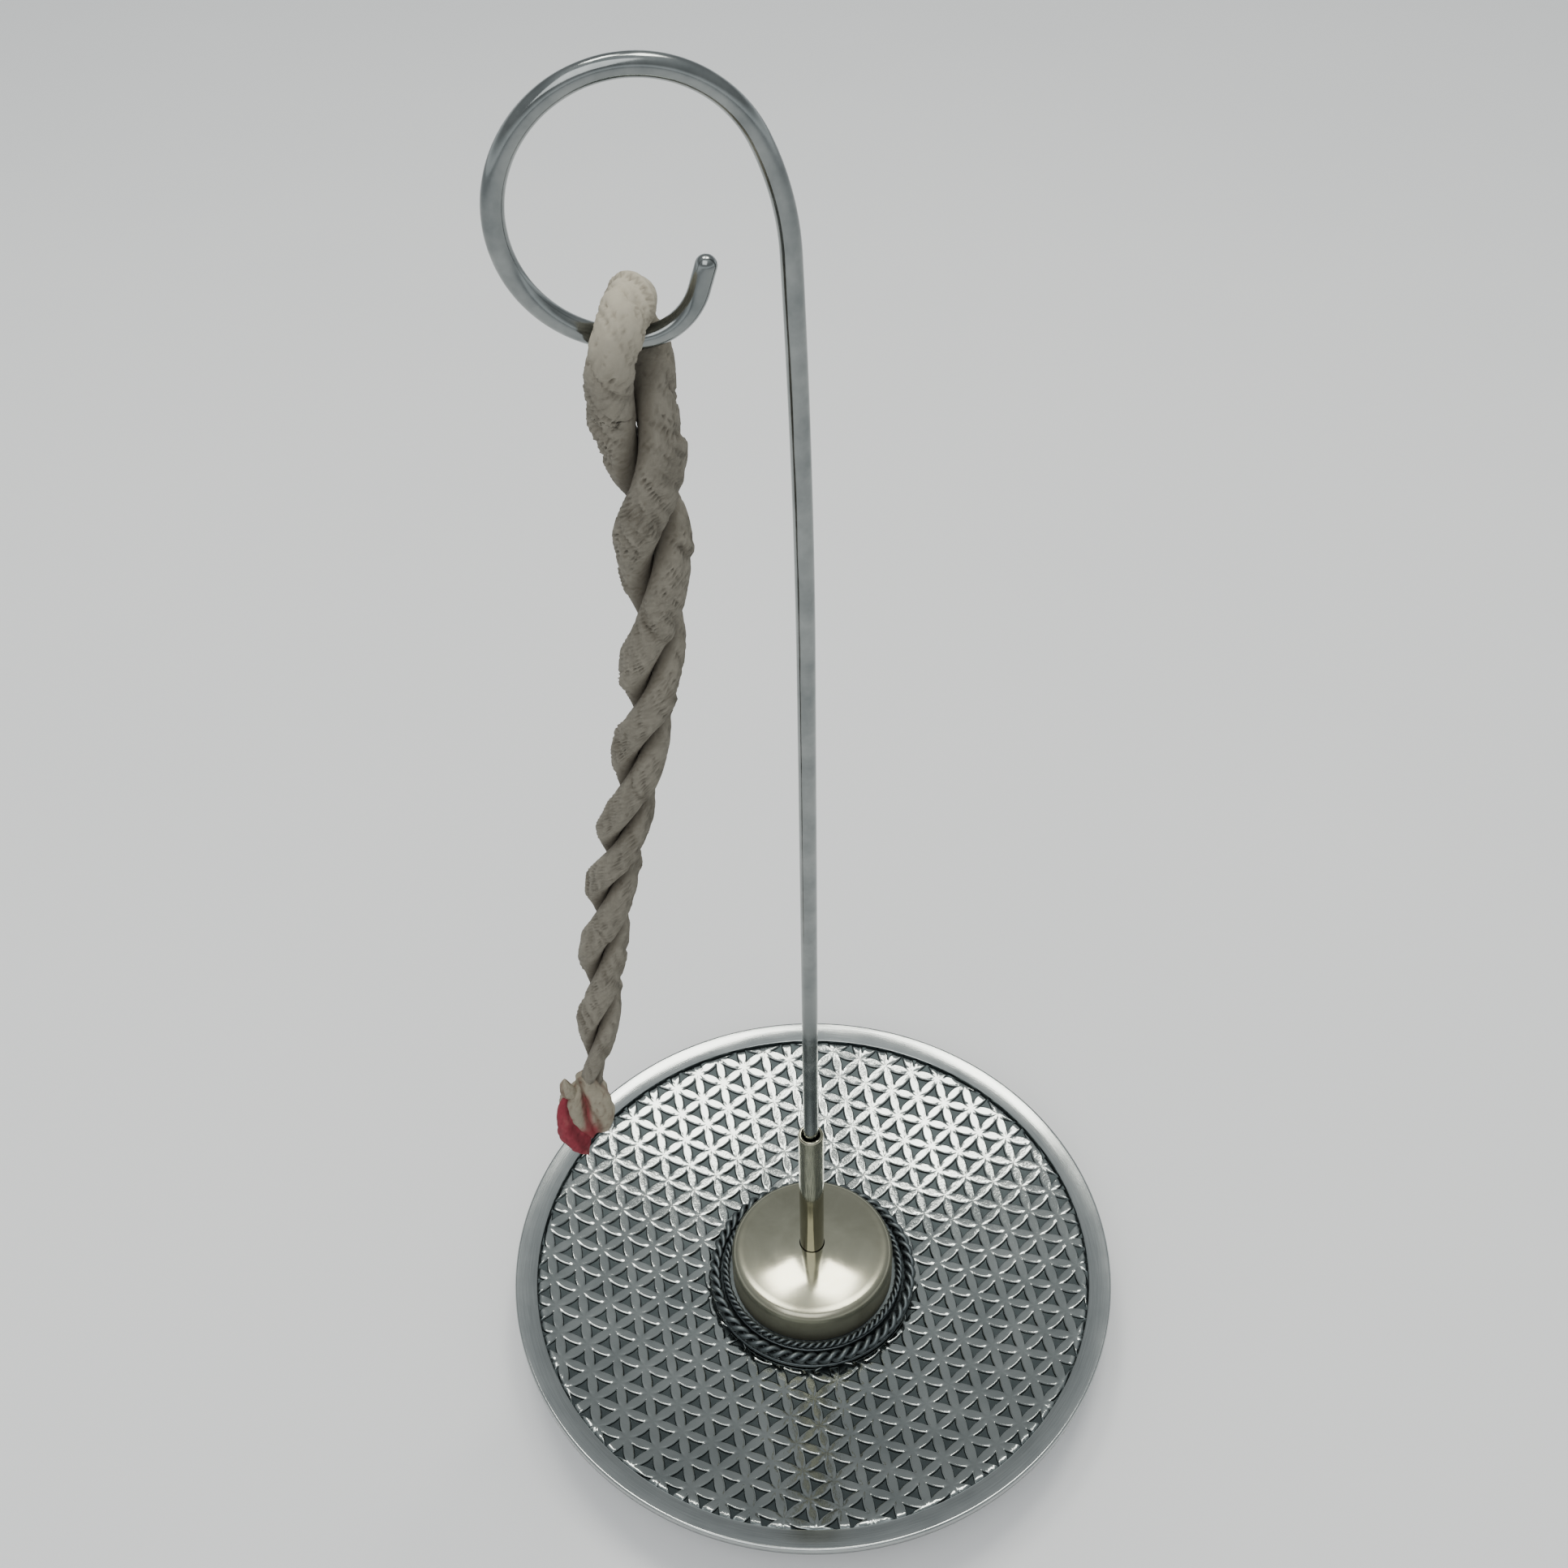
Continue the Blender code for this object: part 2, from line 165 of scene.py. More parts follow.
class Nodes:
    """A material's node tree, with short calls for the nodes that the materials here use."""

    def __init__(self, name):
        self.material = bpy.data.materials.new(name)
        self.material.use_nodes = True
        self.tree = self.material.node_tree
        self.shader = self.tree.nodes["Principled BSDF"]
        self.place = self.add("ShaderNodeTexCoord").outputs["Object"]

    def add(self, kind, **settings):
        made = self.tree.nodes.new(kind)
        for key, value in settings.items():
            setattr(made, key, value)
        return made

    def put(self, value, socket):
        if isinstance(value, bpy.types.NodeSocket):
            self.tree.links.new(value, socket)
        elif isinstance(value, tuple) and len(value) == 3 and socket.type == "RGBA":
            socket.default_value = (*value, 1.0)
        else:
            socket.default_value = value

    def surface(self, **values):
        for key, value in values.items():
            self.put(value, self.shader.inputs[key.replace("_", " ").title().replace("Ior", "IOR")])

    def maths(self, operation, *values):
        made = self.add("ShaderNodeMath", operation=operation)
        for value, socket in zip(values, made.inputs):
            self.put(value, socket)
        return made.outputs[0]

    def stretched(self, scale, turn=(0.0, 0.0, 0.0)):
        made = self.add("ShaderNodeMapping")
        self.put(self.place, made.inputs["Vector"])
        made.inputs["Rotation"].default_value = turn
        made.inputs["Scale"].default_value = scale
        return made.outputs[0]

    def grain(self, size, detail=3.0, roughness=0.55, place=None, distortion=0.0):
        """Noise with features of about size metres."""
        made = self.add("ShaderNodeTexNoise")
        self.put(place or self.place, made.inputs["Vector"])
        made.inputs["Scale"].default_value = 1.0 / size
        made.inputs["Detail"].default_value = detail
        made.inputs["Roughness"].default_value = roughness
        made.inputs["Distortion"].default_value = distortion
        return made.outputs["Fac"]

    def stored(self, name):
        return self.add("ShaderNodeAttribute", attribute_name=name).outputs["Fac"]

    def ramp(self, value, *stops):
        """Colours or grey values at (place, value) stops."""
        made = self.add("ShaderNodeValToRGB")
        self.put(value, made.inputs[0])
        elements = made.color_ramp.elements
        while len(elements) < len(stops):
            elements.new(1.0)
        for element, (place, colour) in zip(elements, stops):
            element.position = place
            element.color = (*(colour if isinstance(colour, tuple) else (colour,) * 3), 1.0)
        return made.outputs[0]

    def blend(self, share, first, second, kind="MIX"):
        made = self.add("ShaderNodeMix", data_type="RGBA", blend_type=kind)
        for value, key in ((share, 0), (first, 6), (second, 7)):
            self.put(value, made.inputs[key])
        return made.outputs[2]

    def bump(self, height, depth, strength=0.5):
        """Bump of about depth metres."""
        made = self.add("ShaderNodeBump")
        made.inputs["Strength"].default_value = strength
        made.inputs["Distance"].default_value = depth
        self.put(height, made.inputs["Height"])
        return made.outputs[0]

    def polar(self):
        """(radius, angle, height) round Z, for turned pieces."""
        split = self.add("ShaderNodeSeparateXYZ")
        self.put(self.place, split.inputs[0])
        x, y, z = split.outputs
        squares = self.maths("ADD", self.maths("MULTIPLY", x, x), self.maths("MULTIPLY", y, y))
        across = self.maths("SQRT", squares)
        return across, self.maths("ARCTAN2", y, x), z


def paint(piece, made):
    """Puts a material on a piece in every slot that it has."""
    piece.data.materials.clear()
    piece.data.materials.append(made)


def antiqued_metal():
    """White metal with the dark patina left in the recesses of its relief and rubbed off the raised petals."""
    n = Nodes("antiqued_white_metal")
    height = n.stored("relief")
    blotches = n.grain(0.009, 3.0)
    speckle = n.grain(0.0006, 2.0)
    worn = n.maths("ADD", height, n.maths("MULTIPLY", n.maths("SUBTRACT", speckle, 0.5), 0.35))
    rubbed = n.ramp(
        worn, (0.04, (0.060, 0.072, 0.075)), (0.5, (0.17, 0.19, 0.19)), (0.92, (0.31, 0.33, 0.32))
    )
    toned = n.blend(n.ramp(blotches, (0.35, 0.0), (0.7, 0.35)), rubbed, (0.30, 0.34, 0.36), "MULTIPLY")
    n.surface(base_color=toned, metallic=1.0)
    n.surface(roughness=n.ramp(worn, (0.1, 0.45), (0.45, 0.20), (0.8, 0.11)))
    n.surface(normal=n.bump(n.grain(0.0004, 2.0), 0.00002))
    return n.material


def satin_metal():
    """The same metal on plain faces: fine turning lines round the middle and a few rubbed patches."""
    n = Nodes("satin_white_metal")
    across, around, height = n.polar()
    lines = n.add("ShaderNodeCombineXYZ")
    n.put(across, lines.inputs[0])
    n.put(n.maths("MULTIPLY", around, 0.0012), lines.inputs[1])
    n.put(height, lines.inputs[2])
    turning = n.grain(0.00016, 2.0, 0.6, place=lines.outputs[0])
    patches = n.grain(0.011, 4.0)
    colour = n.ramp(patches, (0.3, (0.35, 0.37, 0.365)), (0.7, (0.43, 0.45, 0.44)))
    scored = n.ramp(turning, (0.3, 0.0), (0.7, 0.25))
    n.surface(base_color=n.blend(scored, colour, (0.25, 0.28, 0.3), "MULTIPLY"))
    n.surface(metallic=1.0, roughness=n.ramp(patches, (0.3, 0.12), (0.7, 0.19)))
    n.surface(normal=n.bump(turning, 0.00001))
    return n.material


def oxidised_metal():
    n = Nodes("oxidised_wire")
    wear = n.grain(0.0011, 4.0)
    pointing = n.add("ShaderNodeNewGeometry").outputs["Pointiness"]
    crest = n.maths("MULTIPLY", n.maths("SUBTRACT", pointing, 0.47), 4.0)
    rubbed = n.maths("ADD", n.maths("MULTIPLY", wear, 0.5), crest)
    n.surface(base_color=n.ramp(rubbed, (0.2, (0.050, 0.060, 0.064)), (0.6, (0.125, 0.142, 0.146))))
    n.surface(metallic=1.0)
    n.surface(roughness=n.ramp(wear, (0.3, 0.36), (0.7, 0.52)))
    n.surface(normal=n.bump(n.grain(0.0003, 2.0), 0.00002))
    return n.material


def pale_brass():
    """Polished pale brass with faint smudges and hairline scratches."""
    n = Nodes("polished_pale_brass")
    smudges = n.grain(0.007, 5.0, 0.6, distortion=0.6)
    hairs = n.grain(0.0007, 2.0, place=n.stretched((0.06, 1.0, 1.0), (0.3, 0.2, 0.7)))
    _, _, height = n.polar()
    side = n.ramp(height, (0.0122, 1.0), (0.0132, 0.0))
    n.surface(base_color=n.ramp(smudges, (0.3, (0.29, 0.282, 0.212)), (0.7, (0.37, 0.362, 0.28))))
    n.surface(metallic=1.0)
    polish = n.ramp(smudges, (0.35, 0.06), (0.62, 0.11), (0.8, 0.18))
    n.surface(roughness=n.maths("MAXIMUM", polish, n.maths("MULTIPLY", side, 0.55)))
    n.surface(normal=n.bump(hairs, 0.000004, 0.4))
    return n.material


def drawn_wire():
    """Polished wire with faint drawing lines along it and small dulled patches."""
    n = Nodes("polished_steel_wire")
    dull = n.grain(0.004, 4.0, 0.6)
    lines = n.grain(0.0003, 2.0, place=n.stretched((1.0, 1.0, 0.02)))
    n.surface(base_color=n.ramp(dull, (0.3, (0.17, 0.185, 0.185)), (0.7, (0.27, 0.285, 0.28))))
    n.surface(metallic=1.0)
    n.surface(roughness=n.ramp(dull, (0.35, 0.10), (0.75, 0.22)))
    n.surface(normal=n.bump(lines, 0.000006))
    return n.material


def zinc_steel():
    n = Nodes("zinc_plated_steel")
    crystals = n.add("ShaderNodeTexVoronoi")
    n.put(n.place, crystals.inputs["Vector"])
    crystals.inputs["Scale"].default_value = 1600.0
    facets = crystals.outputs["Distance"]
    n.surface(base_color=n.ramp(facets, (0.0, (0.40, 0.41, 0.43)), (0.9, (0.58, 0.59, 0.60))))
    n.surface(metallic=1.0, roughness=n.ramp(n.grain(0.0009), (0.3, 0.28), (0.7, 0.46)))
    return n.material


def fibres(n):
    """Long thin fibres crossing in two directions, as in handmade paper."""
    one = n.grain(0.0008, 3.0, 0.6, place=n.stretched((1.0, 1.0, 0.22), (0.2, 0.5, 0.3)), distortion=0.5)
    two = n.grain(0.0007, 3.0, 0.6, place=n.stretched((0.3, 1.0, 1.0), (0.6, 0.3, 0.9)), distortion=0.5)
    return n.maths("MAXIMUM", one, two)


def lokta_paper():
    """Taupe handmade paper with fibres and dark specks, painted shade in its folds and between the strands, and
    a painted highlight that makes the top of the fold paler.
    """
    n = Nodes("lokta_paper")
    strands = fibres(n)
    cloud = n.grain(0.012, 3.0)
    base = n.ramp(cloud, (0.3, (0.145, 0.132, 0.106)), (0.7, (0.212, 0.194, 0.157)))
    woven = n.blend(n.ramp(strands, (0.45, 0.0), (0.75, 0.5)), base, (0.27, 0.25, 0.205))
    specks = n.ramp(n.grain(0.0011, 1.0), (0.68, 0.0), (0.75, 0.3))
    _, _, height = n.polar()
    # painted highlight: the paper is painted paler towards the top of the fold over the wire, where the light
    # falls on it from above
    painted_top_light = n.blend(n.ramp(height, (0.1815, 0.0), (0.1925, 0.8)), woven, (0.66, 0.60, 0.47))
    marked = n.blend(specks, painted_top_light, (0.075, 0.06, 0.042))
    # painted shade: the paper is darkened in its folds and wrinkles and on the side pressed against the other
    # strand
    n.surface(base_color=n.blend(n.stored("crease_shade"), marked, (0.055, 0.043, 0.03)))
    n.surface(roughness=n.ramp(strands, (0.3, 0.92), (0.7, 0.78)), specular_ior_level=0.25)
    n.surface(normal=n.bump(strands, 0.00006))
    return n.material


def cream_paper():
    n = Nodes("cream_tip_paper")
    strands = fibres(n)
    base = n.blend(n.ramp(strands, (0.4, 0.0), (0.75, 0.5)), (0.25, 0.225, 0.17), (0.36, 0.325, 0.25))
    stained = n.blend(n.stored("dye"), base, (0.22, 0.035, 0.042))
    # painted shade: the paper is darkened in its folds
    n.surface(base_color=n.blend(n.stored("crease_shade"), stained, (0.12, 0.065, 0.045)))
    n.surface(roughness=n.ramp(strands, (0.3, 0.9), (0.7, 0.78)), specular_ior_level=0.25)
    n.surface(normal=n.bump(strands, 0.00006))
    return n.material


def crimson_paper():
    """Paper dyed red, with the dye pooled dark in some places and thin and pink in others."""
    n = Nodes("crimson_tip_paper")
    strands = fibres(n)
    pooled = n.grain(0.0035, 3.0, 0.6)
    dyed = n.ramp(
        pooled, (0.32, (0.15, 0.012, 0.022)), (0.55, (0.24, 0.030, 0.045)), (0.75, (0.30, 0.085, 0.085))
    )
    # painted shade: the dyed paper is darkened in its folds
    n.surface(base_color=n.blend(n.stored("crease_shade"), dyed, (0.10, 0.010, 0.015)))
    n.surface(roughness=n.ramp(strands, (0.3, 0.85), (0.7, 0.7)), specular_ior_level=0.3)
    n.surface(normal=n.bump(strands, 0.00006))
    return n.material


# ---------------------------------------------------------------- camera


CAMERA_LENS = 39.13
CAMERA_PLACE = (-0.03043, -0.15560, 0.26546)
CAMERA_FORWARD = (0.12787, 0.72520, -0.67656)
CAMERA_RIGHT = (0.98187, -0.18883, -0.01683)


def make_camera():
    data = bpy.data.cameras.new("camera")
    data.sensor_width, data.lens = 36.0, CAMERA_LENS
    data.clip_start, data.clip_end = 0.01, 20.0
    camera = bpy.data.objects.new("camera", data)
    forward = Vector(CAMERA_FORWARD).normalized()
    right = Vector(CAMERA_RIGHT).normalized()
    turn = Matrix((right, right.cross(forward), -forward)).transposed().to_4x4()
    camera.matrix_world = Matrix.Translation(CAMERA_PLACE) @ turn
    bpy.context.scene.collection.objects.link(camera)
    bpy.context.scene.camera = camera


# ---------------------------------------------------------------- hook wire

WIRE_RADIUS = 1.15
WIRE_BOTTOM = 12.4
BOW_START = 138.0
BOW_RADIUS = 1300.0
BOW_LENGTH = 52.5
BEND_RADIUS = 31.0
BEND_TURN = math.radians(22.7)
CROOK_RADIUS = 13.35
CURL_START = math.radians(266.0)
CURL_RADIUS = 6.5
CURL_TURN = math.radians(76.0)
FREE_END = 2.6
HANG_ANGLE = math.radians(259.2)


class Crook:
    """The wire's centreline in the XZ plane, walked from its foot.

    Heading 0 is up and grows towards -X."""

    def __init__(self):
        self.x, self.z, self.heading = 0.0, WIRE_BOTTOM, 0.0
        self.stations = [(self.x, self.z, self.heading)]

    def straight(self, length, count):
        for _ in range(count):
            self.x -= math.sin(self.heading) * length / count
            self.z += math.cos(self.heading) * length / count
            self.stations.append((self.x, self.z, self.heading))

    def bend(self, radius, turn, count):
        centre = (self.x - radius * math.cos(self.heading), self.z - radius * math.sin(self.heading))
        for _ in range(count):
            self.heading += turn / count
            self.x = centre[0] + radius * math.cos(self.heading)
            self.z = centre[1] + radius * math.sin(self.heading)
            self.stations.append((self.x, self.z, self.heading))
        return centre


def crook_stations():
    crook = Crook()
    crook.straight(BOW_START - WIRE_BOTTOM, 24)
    crook.bend(BOW_RADIUS, BOW_LENGTH / BOW_RADIUS, 14)
    crook.bend(BEND_RADIUS, BEND_TURN, 14)
    centre = crook.bend(CROOK_RADIUS, CURL_START - crook.heading, 96)
    crook.bend(CURL_RADIUS, CURL_TURN, 22)
    crook.straight(FREE_END, 3)
    return crook.stations, centre


def make_hook():
    stations, _ = crook_stations()
    turns = np.linspace(0, 2 * math.pi, 28, endpoint=False)
    rings = []

    def ring(x, z, heading, radius):
        across = Vector((math.cos(heading), 0.0, math.sin(heading)))
        middle = Vector((x, 0.0, z))
        return [middle + radius * (across * math.cos(a) + Vector((0, math.sin(a), 0))) for a in turns]

    for drop, share in ((0.25, 0.8), (0.05, 0.96)):
        x, z, heading = stations[0]
        rings.append(ring(x, z + 0.3 - drop, heading, WIRE_RADIUS * share))
    for i, (x, z, heading) in enumerate(stations[1:]):
        flutter = noise.noise(Vector((i * 0.21, 3.7, 0.0)))
        rings.append(ring(x, z, heading, WIRE_RADIUS * (1 + 0.012 * flutter)))
    x, z, heading = stations[-1]
    for angle in (18, 36, 54, 72, 84):
        reach = WIRE_RADIUS * 0.95 * math.sin(math.radians(angle))
        rings.append(
            ring(x - math.sin(heading) * reach, z + math.cos(heading) * reach, heading,
                 WIRE_RADIUS * math.cos(math.radians(angle)))
        )
    return face_outwards(piece_from("hook_rod", *tube_from(rings)))


# ---------------------------------------------------------------- rope

# x, height and radius of the twisted rope, from part.py
ROPE_ROUTE = (
    (-17.7, 174.2, 4.7),
    (-17.0, 162.0, 4.5),
    (-17.3, 150.0, 3.9),
    (-19.0, 137.0, 3.6),
    (-22.0, 123.0, 3.4),
    (-25.3, 110.0, 3.4),
    (-27.7, 97.0, 3.3),
    (-29.7, 82.5, 3.1),
    (-31.0, 74.0, 2.3),
    (-32.1, 68.0, 1.6),
)
ROPE_TOP = 175.0
ROPE_BOTTOM = 67.2
SIDE_BY_SIDE = (172.5, 157.5, 141.6, 130.2, 117.7, 108.0, 95.5, 80.3, 65.2)  # each is half a turn on
FIRST_ANGLE = 169.0
STRAND_RADIUS = 2.3
STRAND_LEAN = 1.5
ARCH_RADIUS = 3.9
ROOT_REACH = 2.3
FOLD_SHIFT = 0.35  # how far the fold has slid along the wire
STRAND_GAP = 0.06
AROUND = 52  # points round a strand
SEAM_PITCH = 9.0  # the roll's edge winds once round in this length
SEAM_RISE, SEAM_SINK, SEAM_WIDTH = 0.55, 0.22, 0.025
WRINKLE_TURN = 0.55  # radians that the wrinkles turn for each millimetre of the roll
WRINKLE_DEPTH, FINE_DEPTH, PINCH_DEPTH, SOFT_SWELL = 0.48, 0.20, 0.24, 0.34


def rope_axis(height):
    """x and radius of the rope at a height."""
    rising = ROPE_ROUTE[::-1]
    heights = [row[1] for row in rising]
    x = hermite(heights, [row[0] for row in rising], height)
    return x, hermite(heights, [row[2] for row in rising], height)


def strand_angle(height):
    """Direction of the first strand from the rope's axis, in radians."""
    knots = SIDE_BY_SIDE[::-1]
    angles = [FIRST_ANGLE - 180 * i for i in range(len(knots))][::-1]
    slope = 12.0
    knots, angles = (*knots, knots[-1] + 6), (*angles, angles[-1] + 6 * slope / 2)
    return np.radians(hermite(knots, angles, height))


def hanging_point():
    _, centre = crook_stations()
    along = Vector((-math.sin(HANG_ANGLE), 0.0, math.cos(HANG_ANGLE)))
    outward = Vector((math.cos(HANG_ANGLE), 0.0, math.sin(HANG_ANGLE)))
    return Vector((centre[0], 0.0, centre[1])) + outward * CROOK_RADIUS, along


def leg_stations(count=26):
    """One leg from the top of the twisted rope up to the wire.

    A station is the middle, the offset from it, outward, half depth, half width and flatness."""
    hang, along = hanging_point()
    hang += along * FOLD_SHIFT
    root = Vector((float(rope_axis(ROPE_TOP)[0]), 0.0, ROPE_TOP))
    start = float(strand_angle(ROPE_TOP)) - 2 * math.pi
    top = math.atan2(-ARCH_RADIUS, -STRAND_LEAN)
    made = []
    for i in range(count):
        t = i / count
        eased = t * t * (3 - 2 * t)
        angle = start + (top - start) * t
        facing = start + (-math.pi / 2 - start) * eased
        reach = ROOT_REACH + (math.hypot(ARCH_RADIUS, STRAND_LEAN) - ROOT_REACH) * t * t * (2 - t)
        middle = root.lerp(hang, t)
        offset = Vector((math.cos(angle), math.sin(angle), 0.0)) * reach
        outward = Vector((math.cos(facing), math.sin(facing), 0.0))
        made.append((middle, offset, outward, 2.3 - 0.05 * t, 2.75 - 0.35 * eased, 1 - 0.6 * eased))
    return made


def arch_stations(count=44):
    """The fold's stations over the wire, from one leg to the other."""
    hang, along = hanging_point()
    hang += along * FOLD_SHIFT
    over = Vector((-along.z, 0.0, along.x))
    made = []
    for turn in np.linspace(-90, 90, count + 1):
        angle = math.radians(turn)
        side = Vector((0.0, math.sin(angle), 0.0)) + over * math.cos(angle)
        offset = along * (STRAND_LEAN * turn / 90) + side * ARCH_RADIUS
        made.append((hang, offset, side, STRAND_RADIUS - 0.05, 2.35 + 0.25 * math.cos(angle), 0.4))
    return made


def twisted_stations(step=0.42):
    """The first strand of the twisted rope from its lower end up."""
    made = []
    for height in np.arange(ROPE_BOTTOM, ROPE_TOP, step):
        x, radius = (float(v) for v in rope_axis(height))
        angle = float(strand_angle(height))
        outward = Vector((math.cos(angle), math.sin(angle), 0.0))
        half = (radius - STRAND_GAP) / 2
        made.append((Vector((x, 0.0, height)), outward * (STRAND_GAP + half), outward, half,
                     radius * 0.64, 1.0))
    return made


def rope_sections():
    """Every section of the folded roll: up the first strand, over the wire, and down the second."""
    up = twisted_stations() + leg_stations()
    down = [(m, -offset, -outward, *sizes) for m, offset, outward, *sizes in reversed(up)]
    return [(m + offset, outward, *sizes) for m, offset, outward, *sizes in up + arch_stations() + down]


def ridged(place):
    return 1 - abs(noise.noise(place)) * 2


def excess(value, level):
    """How far a value of up to 1 is above a level, as a share of the most that it can be."""
    return max(value - level, 0) / (1 - level)


def paper_relief(along, around, tightness):
    """How far the paper stands out at a place on the roll, and how deep in a fold it is, as painted shade for
    the paper's colour.
    """
    turn = around / (2 * math.pi) + along / SEAM_PITCH
    edge = turn - math.floor(turn)
    step = SEAM_RISE * (smoothstep(0.0, SEAM_WIDTH, edge) * (1 - edge)) - SEAM_SINK
    twisted = around + along * WRINKLE_TURN
    wrinkle = ridged(Vector((math.cos(twisted) * 1.6, math.sin(twisted) * 1.6, along * 0.085)))
    fine = ridged(Vector((math.cos(twisted) * 3.6 + 9, math.sin(twisted) * 3.6, along * 0.21)))
    pinch = ridged(Vector((math.cos(around) * 1.2, math.sin(around) * 1.2 + 5, along * 0.42)))
    soft = noise.noise(Vector((math.cos(around) * 0.9, math.sin(around) * 0.9, along * 0.13 + 20)))
    sunk = (WRINKLE_DEPTH * excess(wrinkle, 0.70) + FINE_DEPTH * excess(fine, 0.68)) * tightness
    sunk += PINCH_DEPTH * excess(pinch, 0.82)
    # painted shade: the deepest wrinkles and pinches and the seam's edge line are marked for darkening in the
    # paper's colour
    crease_shade = 0.75 * excess(wrinkle, 0.86) * tightness + 0.4 * excess(pinch, 0.93)
    crease_shade += 0.8 * float(edge < 0.03 or edge > 0.985)
    return float(step) - sunk + SOFT_SWELL * soft, min(crease_shade * 0.5, 1.0)


def make_rope():
    sections = rope_sections()
    centres = [section[0] for section in sections]
    rings, crease_shades, along = [], [], 0.0
    for i, (centre, outward, half_depth, half_width, flat) in enumerate(sections):
        if i:
            along += (centre - centres[i - 1]).length
        ahead = centres[min(i + 1, len(centres) - 1)] - centres[max(i - 1, 0)]
        if centre.z < ROPE_TOP + 1:  # level sections keep the two strands apart
            ahead = Vector((0.0, 0.0, 1.0 if i < len(centres) / 2 else -1.0))
        ahead.normalize()
        outward = (outward - ahead * outward.dot(ahead)).normalized()
        across = ahead.cross(outward)
        size = min(half_depth / STRAND_RADIUS, 1.0)
        ring = []
        for j in range(AROUND):
            around = 2 * math.pi * j / AROUND
            c, s = math.cos(around), math.sin(around)
            raised, crease_shade = paper_relief(along, around, 0.55 + 0.45 * flat)
            inner = max(-c, 0.0)
            # the side that faces the other strand is pressed flat
            keep = (1 - flat * inner) * (1 - 0.6 * inner)
            depth = math.copysign(abs(c) ** (1 - 0.45 * flat * inner), c) * half_depth
            width = math.copysign(abs(s) ** (1 - 0.22 * flat * inner), s) * half_width
            lift = raised * size * keep
            ring.append(centre + outward * (depth + lift * c) + across * (width + lift * s * keep))
            # painted shade for the paper's colour: the folded places, plus the pressed side that faces the
            # other strand, where shade falls between the strands
            crease_shades.append(crease_shade * (0.3 + 0.7 * keep) + 0.5 * flat * smoothstep(0.1, 0.7, inner))
        rings.append(ring)
    vertices, faces = tube_from(rings)
    rope = face_outwards(piece_from("incense_rope", vertices, faces))
    store(rope, "crease_shade", crease_shades + [0.5, 0.5])
    return rope


def store(piece, name, values):
    """Keeps one number on each vertex for the piece's material."""
    made = piece.data.attributes.new(name, "FLOAT", "POINT")
    made.data.foreach_set("value", np.asarray(values, np.float32))


def rope_path():
    """The rope's middle line, from the top of its fold to its gathered end, in metres."""
    hang, _ = hanging_point()
    points = [(hang.x, 0.0, hang.z + 4.0), (hang.x, 0.0, hang.z)]
    points += [(float(rope_axis(z)[0]), 0.0, z) for z in np.linspace(ROPE_TOP, ROPE_BOTTOM, 30)]
    return [(x * MM, y * MM, z * MM) for x, y, z in points]


# ---------------------------------------------------------------- gathered end


def crumpled(stations, lobes, seed, depth, around=44, per_span=9):
    """A closed crumpled form along (x, y, height, half width, half depth) stations.

    Also gives how creased each place is, which the paper's colour uses as painted shade."""
    stations = np.asarray(stations, float)
    knots = np.arange(len(stations), dtype=float)
    at = np.linspace(0, len(stations) - 1, (len(stations) - 1) * per_span + 1)
    x, y, z, wide, deep = (hermite(knots, stations[:, k], at) for k in range(5))
    rings, crease_shades = [], []
    for i in range(len(at)):
        before, after = max(i - 1, 0), min(i + 1, len(at) - 1)
        ahead = Vector((x[after] - x[before], y[after] - y[before], z[after] - z[before])).normalized()
        across = ahead.cross(Vector((0.0, 1.0, 0.0))).normalized()
        towards = ahead.cross(across)
        ring = []
        for j in range(around):
            turn = 2 * math.pi * j / around
            where = Vector((math.cos(turn) * 1.3, math.sin(turn) * 1.3, at[i] * 0.9 + seed))
            fold = math.cos(lobes * turn + seed + at[i] * 0.7 + 1.5 * noise.noise(where))
            ridge = ridged(where * 1.7)
            swell = 1 + depth * fold + 0.10 * noise.noise(where * 2.3) - 0.22 * max(ridge - 0.7, 0)
            size = Vector((math.cos(turn) * max(wide[i], 0.05), math.sin(turn) * max(deep[i], 0.05)))
            ring.append(Vector((x[i], y[i], z[i])) + across * size.x * swell + towards * size.y * swell)
            # painted shade along the fold valleys and the sharpest ridges
            crease_shades.append(min(max(-fold - 0.45, 0) * 1.1 + max(ridge - 0.86, 0) * 3, 1.0))
        rings.append(ring)
    return tube_from(rings), crease_shades + [0.2, 0.2]


